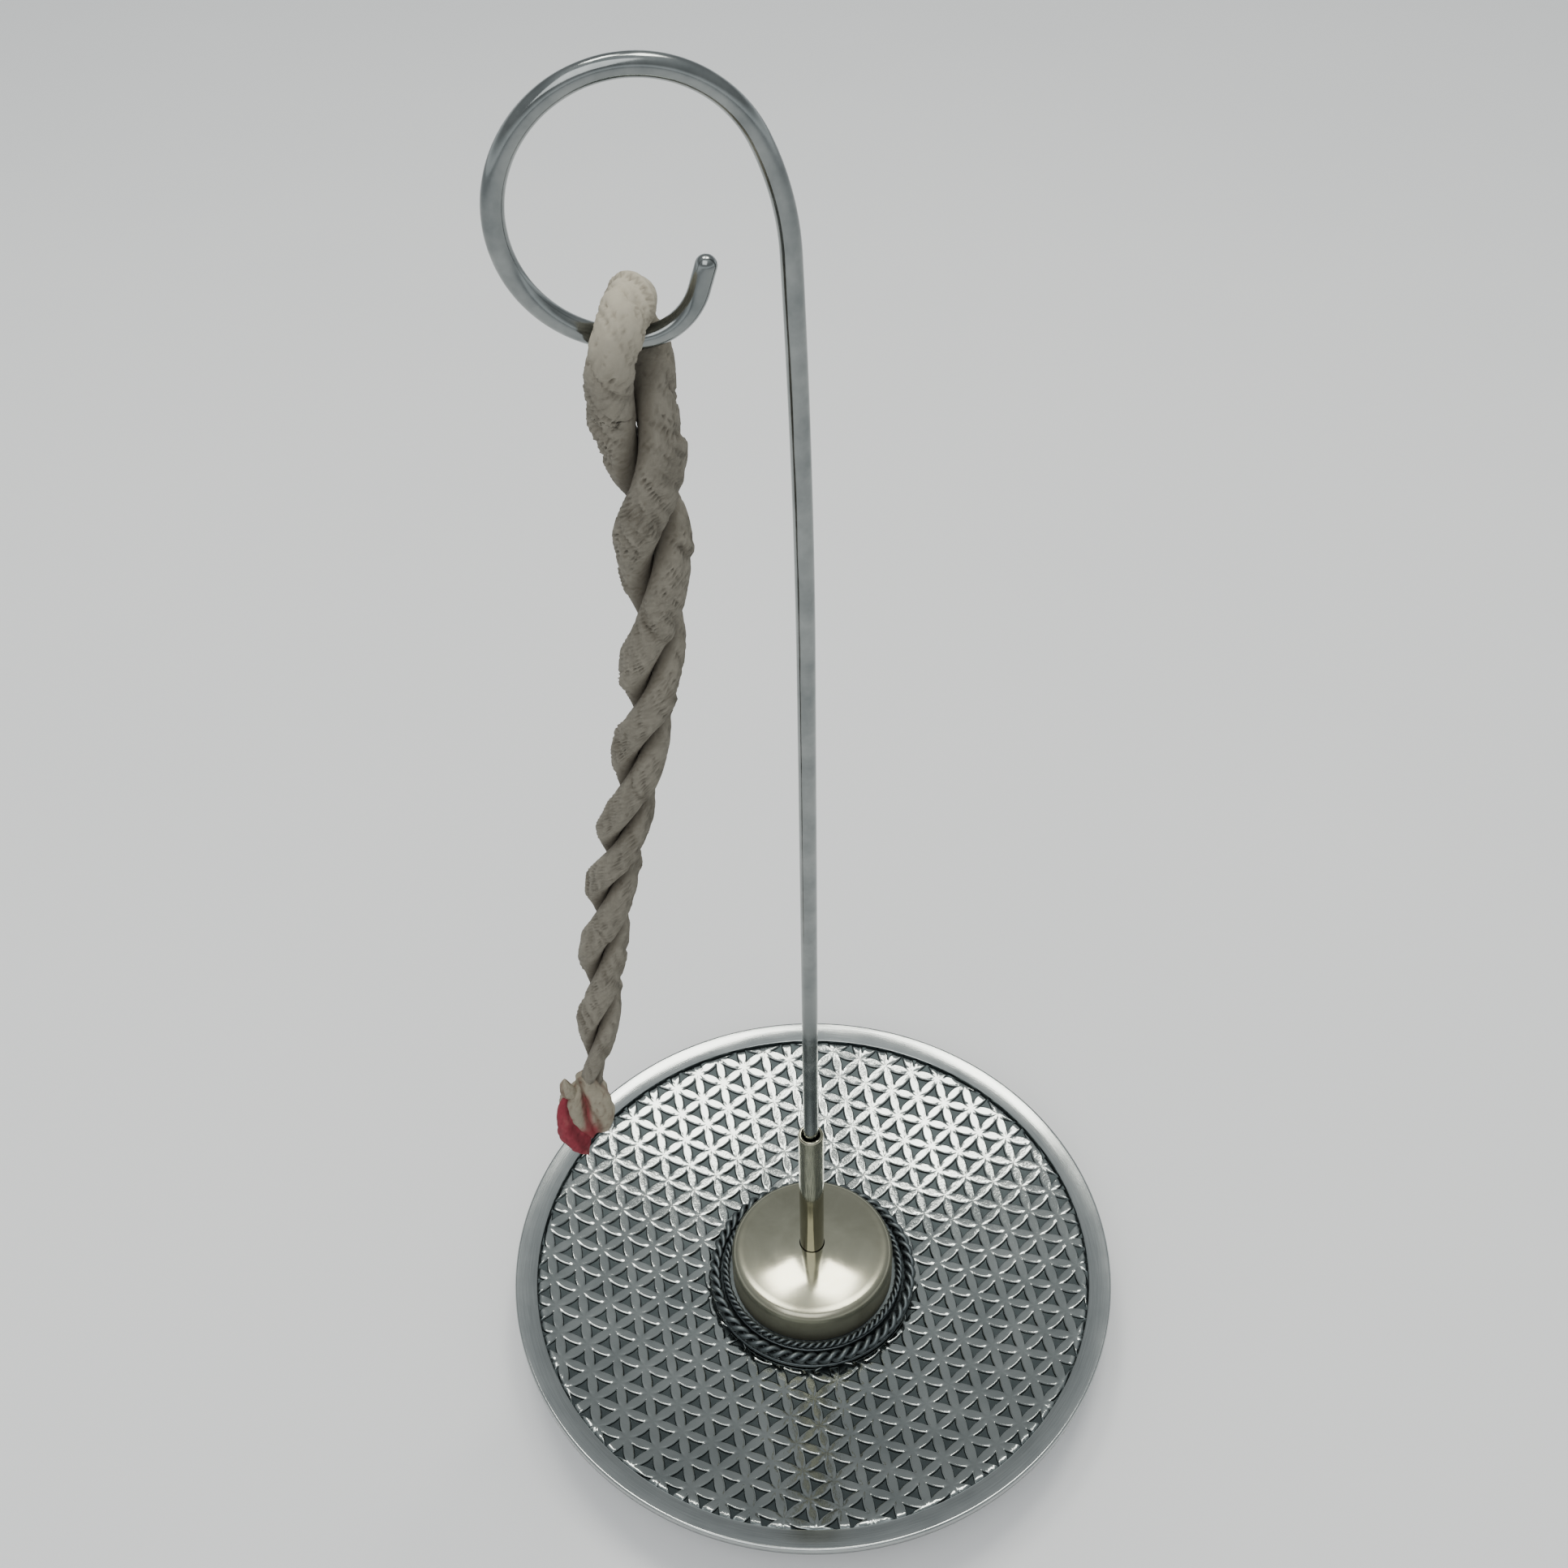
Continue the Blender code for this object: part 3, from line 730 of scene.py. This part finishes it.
def make_cream_tip():
    """The loose paper below the neck: a full fold on the right, a dyed fold in the middle and a small ear."""
    right = ((-33.2, 0.1, 69.2, 1.2, 1.2), (-32.5, -0.3, 66.8, 1.8, 1.7), (-31.8, -0.7, 64.2, 2.1, 2.4),
             (-31.7, -0.8, 61.2, 2.1, 2.5), (-32.3, -0.6, 58.2, 1.6, 1.8), (-33.0, -0.4, 56.3, 0.3, 0.3))
    middle = ((-33.9, 0.2, 67.6, 0.6, 0.6), (-34.8, -0.6, 65.8, 1.7, 1.7), (-35.0, -0.9, 63.6, 2.2, 2.2),
              (-34.4, -0.9, 60.6, 2.2, 2.2), (-33.8, -0.6, 57.4, 1.6, 1.7), (-33.6, -0.3, 55.6, 0.3, 0.3))
    ear = ((-35.2, -0.7, 65.6, 0.9, 0.9), (-35.8, -0.9, 67.2, 1.15, 1.1), (-36.0, -1.0, 68.6, 0.9, 0.9),
           (-36.0, -1.0, 70.1, 0.15, 0.15))
    shells, crease_shades = [], []
    for lobes, seed, stations in ((3, 2.0, right), (4, 5.1, middle), (2, 7.3, ear)):
        shell, marks = crumpled(stations, lobes, seed, 0.13)
        shells.append(shell)
        crease_shades += marks
    vertices, faces = joined(shells)
    tip = face_outwards(piece_from("tip_fold", vertices, faces))
    store(tip, "crease_shade", crease_shades)
    x, z = vertices[:, 0], vertices[:, 2]
    low = smoothstep(62.5, 59.5, z) * smoothstep(-31.4, -32.8, x)
    cleft = smoothstep(0.9, 0.2, abs(x + 33.5)) * smoothstep(58.5, 60.5, z) * smoothstep(67.6, 65.6, z)
    store(tip, "dye", np.maximum(low, 0.9 * cleft))
    return tip


def make_crimson_tip():
    """The dyed fold: a curved claw that sweeps down the left side to a point."""
    stations = (
        (-36.0, -1.0, 66.2, 0.5, 0.5), (-36.5, -1.5, 63.8, 1.3, 1.4), (-36.3, -1.8, 60.2, 1.85, 1.9),
        (-35.5, -1.8, 57.2, 1.85, 1.8), (-34.9, -1.4, 54.3, 1.0, 1.1), (-34.3, -0.8, 51.2, 0.12, 0.12),
    )
    (vertices, faces), crease_shades = crumpled(stations, 3, 4.4, 0.15)
    tip = face_outwards(piece_from("dyed_tip_fold", vertices, faces))
    store(tip, "crease_shade", crease_shades)
    return tip


# ---------------------------------------------------------------- dish

RIM_Z = 12.0
RIM_RISE = 0.95
DISH_RADIUS = 50.0
FIELD_RADIUS = 46.4
FIELD_STEP = 0.3
BOWL_DEPTH = 6.25
DISH_THICKNESS = 1.5
PLAIN_RADIUS = 12.0  # under the hub the dish has no relief
HOLE_RADIUS = 1.5
LATTICE = 5.02
SWELL = 0.05 * LATTICE  # how far the petals reach past the circles of the pattern
FLANK = 0.055 * LATTICE  # width of a petal's sloping side
NODE_FILL = 0.045 * LATTICE  # how far the metal fills in where petals meet
NODE_SPREAD = 0.13 * LATTICE
RELIEF = 0.42
EDGE_FADE = 0.55  # the relief sinks to nothing over this width at the rim
RIM_START = FIELD_RADIUS + 0.05


def bowl_height(radius):
    return RIM_Z - RIM_RISE - FIELD_STEP - BOWL_DEPTH * (1 - (radius / FIELD_RADIUS) ** 2)


def tile(corners, along=8, shares=(0.0, 0.1, 0.2, 0.3, 0.4, 1.0)):
    """One triangle of the lattice: half a petal on each side, and the recess between the three petals.

    Gives faces as lists of (x, y, share of the petals' height)."""
    corners = [np.array(c, float) for c in corners]
    centre = sum(corners) / 3
    reach = LATTICE + SWELL
    notch = math.sqrt(reach**2 - LATTICE**2)  # how far each corner of the recess is from the lattice's node
    tips = [c + (centre - c) / np.linalg.norm(centre - c) * notch for c in corners]
    faces, outline = [], []
    for k in range(3):
        here, there, opposite = corners[k], corners[(k + 1) % 3], corners[(k + 2) % 3]
        mirror = here + there - opposite
        start = math.atan2(*(tips[k] - mirror)[::-1])
        turn = math.atan2(*(tips[(k + 1) % 3] - mirror)[::-1]) - start
        turn = (turn + math.pi) % (2 * math.pi) - math.pi
        rows = []
        for i in range(along + 1):
            angle = start + turn * i / along
            brink = mirror + reach * np.array((math.cos(angle), math.sin(angle)))
            spine = here + (there - here) * i / along
            row = []
            for share in shares:
                place = brink + (spine - brink) * share
                node = min(np.linalg.norm(place - here), np.linalg.norm(place - there))
                inside = max(reach - np.linalg.norm(place - mirror), 0.0)
                inside += NODE_FILL * math.exp(-((node / NODE_SPREAD) ** 2))
                up = min(inside / FLANK, 1.0)
                row.append((*place, math.sqrt(1 - (1 - up) ** 2)))
            rows.append(row)
        for lower, upper in zip(rows, rows[1:]):
            for m in range(len(shares) - 1):
                faces.append([lower[m], upper[m], upper[m + 1], lower[m + 1]])
        outline += [row[0] for row in rows[:-1]]
    inner = [tuple(centre + (np.array(p[:2]) - centre) * 0.5) + (0.0,) for p in outline]
    for i in range(len(outline)):
        j = (i + 1) % len(outline)
        faces.append([outline[j], outline[i], inner[i], inner[j]])
        faces.append([inner[j], inner[i], (*centre, 0.0)])
    return faces


def lattice_tiles():
    up = np.array((0.0, LATTICE))
    side = np.array((LATTICE * math.sqrt(0.75), LATTICE / 2))
    reach = int(FIELD_RADIUS / LATTICE * 1.3) + 2
    for i in range(-reach, reach):
        for j in range(-reach, reach):
            corner = side * i + up * j
            across, above = corner + side, corner + up
            for triangle in ((corner, across, above), (across, across + up, above)):
                distances = [float(np.hypot(*p)) for p in triangle]
                if min(distances) < FIELD_RADIUS and max(distances) > PLAIN_RADIUS:
                    yield triangle


def cut_to_circle(points, faces, radius, keep_inside):
    """Cuts flat faces along a circle round the origin.

    points is a list of [x, y, share], and gains the cut's points."""
    sign = 1 if keep_inside else -1
    level = [sign * (radius - math.hypot(p[0], p[1])) for p in points]
    cuts = {}

    def crossing(a, b):
        key = (min(a, b), max(a, b))
        if key not in cuts:
            one, two = np.array(points[key[0]]), np.array(points[key[1]])
            low, high = 0.0, 1.0
            inside_first = level[key[0]] > 0
            for _ in range(30):
                t = (low + high) / 2
                p = one + (two - one) * t
                if (sign * (radius - math.hypot(p[0], p[1])) > 0) == inside_first:
                    low = t
                else:
                    high = t
            cuts[key] = len(points)
            points.append(list(one + (two - one) * low))
        return cuts[key]

    made = []
    for face in faces:
        kept = []
        for a, b in zip(face, face[1:] + face[:1]):
            if level[a] > 0:
                kept.append(a)
            if (level[a] > 0) != (level[b] > 0):
                kept.append(crossing(a, b))
        if len(kept) > 2:
            made.append(kept)
    return made, sorted(cuts.values(), key=lambda i: math.atan2(points[i][1], points[i][0]))


def zipped(outer, inner, angles_outer, angles_inner):
    """Triangles between two rings of vertices that are sorted by angle."""
    faces, i, j = [], 0, 0
    while i < len(outer) or j < len(inner):
        next_outer = angles_outer[i % len(outer)] + (2 * math.pi if i >= len(outer) else 0)
        next_inner = angles_inner[j % len(inner)] + (2 * math.pi if j >= len(inner) else 0)
        a, b = outer[(i - 1) % len(outer)], inner[(j - 1) % len(inner)]
        if j >= len(inner) or (i < len(outer) and next_outer <= next_inner):
            faces.append((a, outer[i % len(outer)], b))
            i += 1
        else:
            faces.append((a, inner[j % len(inner)], b))
            j += 1
    return faces


def make_dish():
    """The dish: petals over the bowl, a sloping rim, and a plain underside with the screw's hole."""
    index, points, faces = {}, [], []
    for triangle in lattice_tiles():
        for face in tile(triangle):
            ids = []
            for p in face:
                key = (round(p[0], 3), round(p[1], 3))
                if key not in index:
                    index[key] = len(points)
                    points.append(list(p))
                if not ids or ids[-1] != index[key]:
                    ids.append(index[key])
            if ids[0] == ids[-1]:
                ids.pop()
            if len(ids) > 2:
                faces.append(ids)
    faces, outer = cut_to_circle(points, faces, FIELD_RADIUS, True)
    faces, inner = cut_to_circle(points, faces, PLAIN_RADIUS, False)
    flat = np.array(points)
    radii = np.hypot(flat[:, 0], flat[:, 1])
    share = flat[:, 2] * smoothstep(0.0, EDGE_FADE, FIELD_RADIUS - radii)
    relief = list(share)
    heights = bowl_height(radii) - RELIEF * (1 - share)
    vertices = [tuple(v) for v in np.column_stack([flat[:, :2], heights])]

    def ring(source, radius, height, mark):
        made = []
        for i in source:
            x, y = points[i][0], points[i][1]
            scale = radius / math.hypot(x, y)
            made.append(len(vertices))
            vertices.append((x * scale, y * scale, height))
            relief.append(mark)
        return made

    def bridge(one, two):
        for i in range(len(one)):
            j = (i + 1) % len(one)
            faces.append([one[i], one[j], two[j], two[i]])

    edge, inner_z = 0.35, RIM_Z - RIM_RISE
    rim = [(FIELD_RADIUS + 0.06, inner_z - 0.10, 0.4), (FIELD_RADIUS + 0.22, inner_z, 0.9)]
    rim += [(r, z, 0.95) for r, z in arc((DISH_RADIUS - edge, RIM_Z - edge), edge, 106, 0, 5)]
    rim.append((DISH_RADIUS, RIM_Z - DISH_THICKNESS + 0.25, 0.9))
    rim.append((DISH_RADIUS - 0.25, RIM_Z - DISH_THICKNESS, 0.9))
    rim += [(r, bowl_height(r) - DISH_THICKNESS, 0.8) for r in np.linspace(FIELD_RADIUS, 27.0, 9)]
    last = outer
    for radius, height, mark in rim:
        here = ring(outer, radius, height, mark)
        bridge(last, here)
        last = here
    under = last
    last = inner
    middle = [(HOLE_RADIUS, bowl_height(HOLE_RADIUS), 0.3)]
    middle += [(HOLE_RADIUS, bowl_height(HOLE_RADIUS) - DISH_THICKNESS, 0.8)]
    middle += [(r, bowl_height(r) - DISH_THICKNESS, 0.8) for r in (5.0, 12.0, 19.0, 25.0)]
    for radius, height, mark in middle:
        here = ring(inner, radius, height, mark)
        bridge(last, here)
        last = here
    angle = [math.atan2(p[1], p[0]) for p in points]
    faces += zipped(under, last, [angle[i] for i in outer], [angle[i] for i in inner])
    dish = face_outwards(piece_from("patterned_dish", vertices, faces))
    store(dish, "relief", relief)
    return dish


def finish_dish(dish, patterned, plain):
    """The patterned metal on the bowl, and the plain one on the rim and underneath."""
    paint(dish, patterned)
    dish.data.materials.append(plain)
    for polygon in dish.data.polygons:
        across = math.hypot(polygon.center.x, polygon.center.y)
        below = polygon.center.z < (bowl_height(across / MM) - 0.8) * MM
        if across > RIM_START * MM or below:
            polygon.material_index = 1
    shape = bmesh.new()
    shape.from_mesh(dish.data)
    for edge in shape.edges:
        edge.smooth = edge.calc_face_angle(0) < CREASE_ANGLE
    shape.to_mesh(dish.data)
    shape.free()


# ---------------------------------------------------------------- foot, hub, tube, screw

GAP = 0.25
SEAT_TOP = 7.2
TUBE_HOLE = 2.12  # the hole for the tube in the seat and the cap
HEAVY_TWIST = (16.6, 7.15, 0.46, 25)  # ring radius, height, wire radius and turns
FINE_TWIST = (14.75, 7.95, 0.29, 38)


def make_foot():
    def top(radius):
        return bowl_height(radius) - DISH_THICKNESS - GAP

    outer, inner, edge = 29.0, 26.5, 0.4
    profile = [(inner, top(inner)), (outer, top(outer))]
    profile += arc((outer - edge, edge), edge, 0, -90, 5)
    profile += arc((inner + edge, edge), edge, -90, -180, 5)
    return turned("foot_band", profile, steps=200)


def make_seat():
    outer, step, top, bore, floor, edge = 17.4, 15.3, SEAT_TOP, TUBE_HOLE, 5.9, 0.4
    low = bowl_height(outer) + GAP
    profile = [(bore, top)] + arc((step - 0.3, top - 0.3), 0.3, 90, 0, 4)
    profile += [(step, bowl_height(step) + GAP + edge)]
    profile += arc((outer - 0.25, low + edge - 0.25), 0.25, 90, 0, 4)
    profile += [(outer, low), (step / 2, bowl_height(step / 2) + GAP)]
    profile += [(HOLE_RADIUS, bowl_height(HOLE_RADIUS) + GAP), (HOLE_RADIUS, floor), (bore, floor)]
    return turned("hub_base", profile)


def make_cap():
    """The spun cap: a low dome, a rounded shoulder, a short side and a hollow underneath."""
    radius, shoulder, side_top, rise, thick, bore = 13.55, 1.5, 12.6, 1.35, 0.8, TUBE_HOLE
    reach = radius - shoulder

    def shell(inset):
        dome = [
            (r, side_top + shoulder - inset + rise * (1 - (r / reach) ** 2))
            for r in np.linspace(bore, reach, 16)
        ]
        corner = arc((reach, side_top), shoulder - inset, 90, 0, 8)
        return dome[:-1] + corner + [(radius - inset, SEAT_TOP + GAP)]

    inner = shell(thick)
    return turned("spun_cap", shell(0.0) + inner[::-1], steps=192)


def make_socket():
    """The tube that holds the wire, with the slightly uneven lip of a sawn and filed end."""
    outer, bore, top, bottom = 2.0, 1.35, 45.7, 6.15
    profile = [(bore, top - 0.12)] + arc(((outer + bore) / 2, top - 0.2), (outer - bore) / 2, 150, 10, 6)
    profile += [(outer, top - 0.5)]
    profile += [(outer, z) for z in np.linspace(top - 2, bottom + 0.2, 8)]
    profile += [(outer - 0.15, bottom), (bore, bottom)]
    made = turned("wire_socket", profile, steps=64)
    for vertex in made.data.vertices:
        if vertex.co.z > (top - 1.2) * MM:
            angle = math.atan2(vertex.co.y, vertex.co.x)
            vertex.co.z -= 0.10 * MM * (1 + math.sin(2 * angle + 0.6))
    return made


def make_fixings():
    """A slotted screw and its washer under the dish."""
    radius, head, top, head_top, bottom = 1.15, 2.6, 12.0, 2.1, 0.8
    thread = []
    for i, z in enumerate(np.arange(top - 0.3, head_top + 0.3, -0.25)):
        thread.append((radius - (0.14 if i % 2 else 0.0), z))
    profile = [(0.0, top), (radius - 0.2, top)] + thread + [(radius, head_top + 0.1), (radius, head_top)]
    profile += [(head - 0.1, head_top)] + arc((head - 0.35, bottom + 0.45), 0.45, -5, -90, 6)[1:]
    profile = [p for p in profile if p[0] <= head] + [(0.0, bottom)]
    screw = turned("slotted_screw", profile, steps=64)
    cutter_mesh = bpy.data.meshes.new("slot_cutter")
    shape = bmesh.new()
    bmesh.ops.create_cube(shape, size=1.0)
    bmesh.ops.scale(shape, vec=(8 * MM, 0.6 * MM, 1.0 * MM), verts=shape.verts)
    bmesh.ops.translate(shape, vec=(0, 0, bottom * MM), verts=shape.verts)
    shape.to_mesh(cutter_mesh)
    shape.free()
    cutter = bpy.data.objects.new("slot_cutter", cutter_mesh)
    bpy.context.scene.collection.objects.link(cutter)
    cut = screw.modifiers.new("slot", "BOOLEAN")
    cut.operation, cut.object, cut.solver = "DIFFERENCE", cutter, "EXACT"
    bpy.context.view_layer.update()
    graph = bpy.context.evaluated_depsgraph_get()
    cut_mesh = bpy.data.meshes.new_from_object(screw.evaluated_get(graph))
    screw.modifiers.clear()
    screw.data = cut_mesh
    bpy.data.objects.remove(cutter)
    thick, outer, upper = 0.5, 3.6, 2.85
    profile = [(HOLE_RADIUS, upper)] + arc((outer - 0.12, upper - 0.12), 0.12, 90, 0, 3)
    profile += arc((outer - 0.12, upper - thick + 0.12), 0.12, 0, -90, 3) + [(HOLE_RADIUS, upper - thick)]
    return screw, turned("plain_washer", profile, steps=96)


def make_twist(name, ring_radius, height, wire_radius, turns, phase):
    """One wire of a pair twisted together and closed into a ring."""
    per_turn, sides, spread = 14, 10, 1.2
    count = turns * per_turn
    around = 2 * np.pi * np.arange(count) / count
    twist = around * turns + phase
    radius = ring_radius + wire_radius * spread * np.cos(twist)
    level = height + wire_radius * spread * np.sin(twist)
    line = np.column_stack([radius * np.cos(around), radius * np.sin(around), level])
    ahead = np.roll(line, -1, axis=0) - np.roll(line, 1, axis=0)
    ahead /= np.linalg.norm(ahead, axis=1)[:, None]
    outward = np.column_stack([np.cos(around), np.sin(around), np.zeros(count)])
    across = np.cross(ahead, outward)
    across /= np.linalg.norm(across, axis=1)[:, None]
    outward = np.cross(across, ahead)
    turn = 2 * np.pi * np.arange(sides) / sides
    cosine, sine = np.cos(turn)[None, :, None], np.sin(turn)[None, :, None]
    rings = line[:, None, :] + wire_radius * (outward[:, None, :] * cosine + across[:, None, :] * sine)
    return face_outwards(piece_from(name, *tube_from(rings, closed=True)))


# ---------------------------------------------------------------- studio

FLOOR_REACH = 8.0  # metres from the middle to each side
SKY_STOPS = ((0.0, 1.15), (0.10, 1.05), (0.34, 0.40), (0.7, 0.56), (1.0, 0.88))  # height and brightness
SKY_TINT = (0.93, 0.98)  # red and green as shares of blue
WINDOW_COLOUR = (1.0, 0.98, 0.90)


def make_floor():
    mesh = bpy.data.meshes.new("floor")
    side = FLOOR_REACH
    corners = [(-side, -side, 0), (side, -side, 0), (side, side, 0), (-side, side, 0)]
    mesh.from_pydata(corners, [], [(0, 1, 2, 3)])
    floor = bpy.data.objects.new("floor", mesh)
    bpy.context.scene.collection.objects.link(floor)
    n = Nodes("floor_card")
    mottle = n.grain(0.12, 2.0)
    n.surface(base_color=n.ramp(mottle, (0.3, (0.86, 0.865, 0.87)), (0.7, (0.88, 0.882, 0.885))))
    n.surface(roughness=0.9, specular_ior_level=0.2)
    paint(floor, n.material)


def area_light(name, place, aim, size, power, colour=(1.0, 1.0, 1.0)):
    data = bpy.data.lights.new(name, "AREA")
    data.shape = "RECTANGLE"
    data.size, data.size_y = size
    data.energy = power
    data.color = colour
    lamp = bpy.data.objects.new(name, data)
    turn = (Vector(aim) - Vector(place)).to_track_quat("-Z", "Y").to_matrix().to_4x4()
    lamp.matrix_world = Matrix.Translation(place) @ turn
    bpy.context.scene.collection.objects.link(lamp)


def make_world():
    """A pale band round the horizon, dimmer above it and brighter again overhead."""
    world = bpy.data.worlds.new("studio")
    bpy.context.scene.world = world
    world.use_nodes = True
    nodes, links = world.node_tree.nodes, world.node_tree.links
    split = nodes.new("ShaderNodeSeparateXYZ")
    links.new(nodes.new("ShaderNodeTexCoord").outputs["Generated"], split.inputs[0])
    ramp = nodes.new("ShaderNodeValToRGB")
    elements = ramp.color_ramp.elements
    for _ in SKY_STOPS[2:]:
        elements.new(0.5)
    for element, (place, grey) in zip(elements, SKY_STOPS):
        element.position, element.color = place, (SKY_TINT[0] * grey, SKY_TINT[1] * grey, grey, 1.0)
    links.new(split.outputs[2], ramp.inputs[0])
    links.new(ramp.outputs[0], nodes["Background"].inputs["Color"])


def make_lights():
    """A soft light above the camera, and two window-sized ones behind that the dish and the hub reflect."""
    area_light("softbox", (-0.3, -0.65, 1.1), (0, 0, 0.05), (0.9, 0.9), 6.0)
    area_light("window_right", (0.167, 0.203, 0.861), (0, 0, 0.01), (0.20, 0.22), 2.0, WINDOW_COLOUR)
    area_light("window_left", (-0.096, 0.288, 0.847), (0, 0, 0.01), (0.20, 0.17), 1.6, WINDOW_COLOUR)


# ---------------------------------------------------------------- the scene


def put(piece, body, slot, made, *nodes):
    paint(piece, made)
    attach(piece, body)
    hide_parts(*nodes)


def build():
    make_camera()
    paper, cream, crimson = lokta_paper(), cream_paper(), crimson_paper()
    rope, tip, dyed = make_rope(), make_cream_tip(), make_crimson_tip()
    put(rope, "incense", "lokta_paper", paper, "incense_loop", "incense_paper", "incense_powder")
    put(tip, "incense", "lokta_paper", cream, "tip_paper")
    put(dyed, "incense", "red_dyed_paper", crimson, "dyed_tip_paper")
    hang, _ = hanging_point()
    rope_path()

    put(make_hook(), "hook", "polished_steel_wire", drawn_wire(), "hook_wire")
    dish = make_dish()
    white, satin = antiqued_metal(), satin_metal()
    put(dish, "stand", "antiqued_white_metal", white, "dish")
    finish_dish(dish, white, satin)
    put(make_foot(), "stand", "antiqued_white_metal", satin, "foot_ring")
    dark = oxidised_metal()
    put(make_seat(), "stand", "oxidised_wire", dark, "hub_seat")
    for name, sizes in (("heavy_twist", HEAVY_TWIST), ("fine_twist", FINE_TWIST)):
        for letter, phase in (("a", 0.0), ("b", math.pi)):
            strand = make_twist(f"{name}_{letter}", *sizes, phase)
            put(strand, "stand", "oxidised_wire", dark, f"{name}_wire_{letter}")
    brass = pale_brass()
    put(make_cap(), "stand", "polished_pale_brass", brass, "hub_cap")
    put(make_socket(), "stand", "polished_pale_brass", brass, "socket_tube")
    zinc = zinc_steel()
    screw, washer = make_fixings()
    put(screw, "stand", "zinc_plated_steel", zinc, "fixing_screw")
    put(washer, "stand", "zinc_plated_steel", zinc, "fixing_washer")
    make_floor()
    make_world()
    make_lights()


build()
